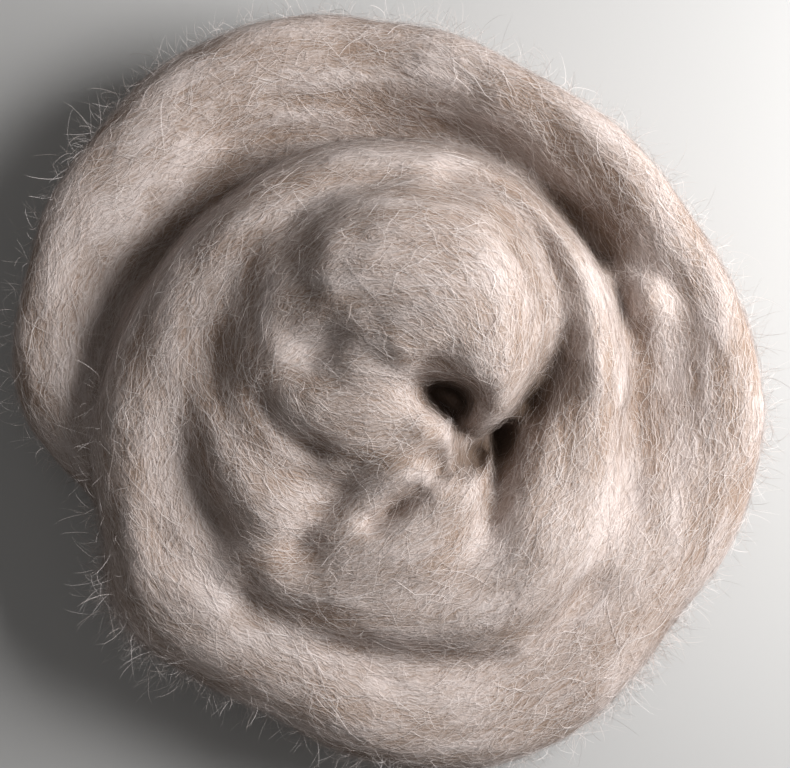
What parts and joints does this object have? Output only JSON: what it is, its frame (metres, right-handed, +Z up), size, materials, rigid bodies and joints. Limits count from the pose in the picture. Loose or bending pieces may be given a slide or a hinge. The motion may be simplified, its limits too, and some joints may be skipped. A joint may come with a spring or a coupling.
{
  "type": "cashmere fibre top",
  "caption": "Loose nest of combed cashmere sliver, wound inward in a flat spiral to a folded head, for spinning, felting or filling.",
  "frame": {"origin": "middle of the coil's bounding box, on the table that it rests on", "axes": "+Z up, away from the table; +Y away from the viewer in the view from above; +X to the right"},
  "size_m": [0.1842, 0.1856, 0.0582],
  "materials": {
    "cashmere": "undyed grey-beige combed fibre, soft and matt with a faint silky sheen"
  },
  "bodies": {
    "root": {"fibre_top": "cashmere"}
  },
  "joints": []
}
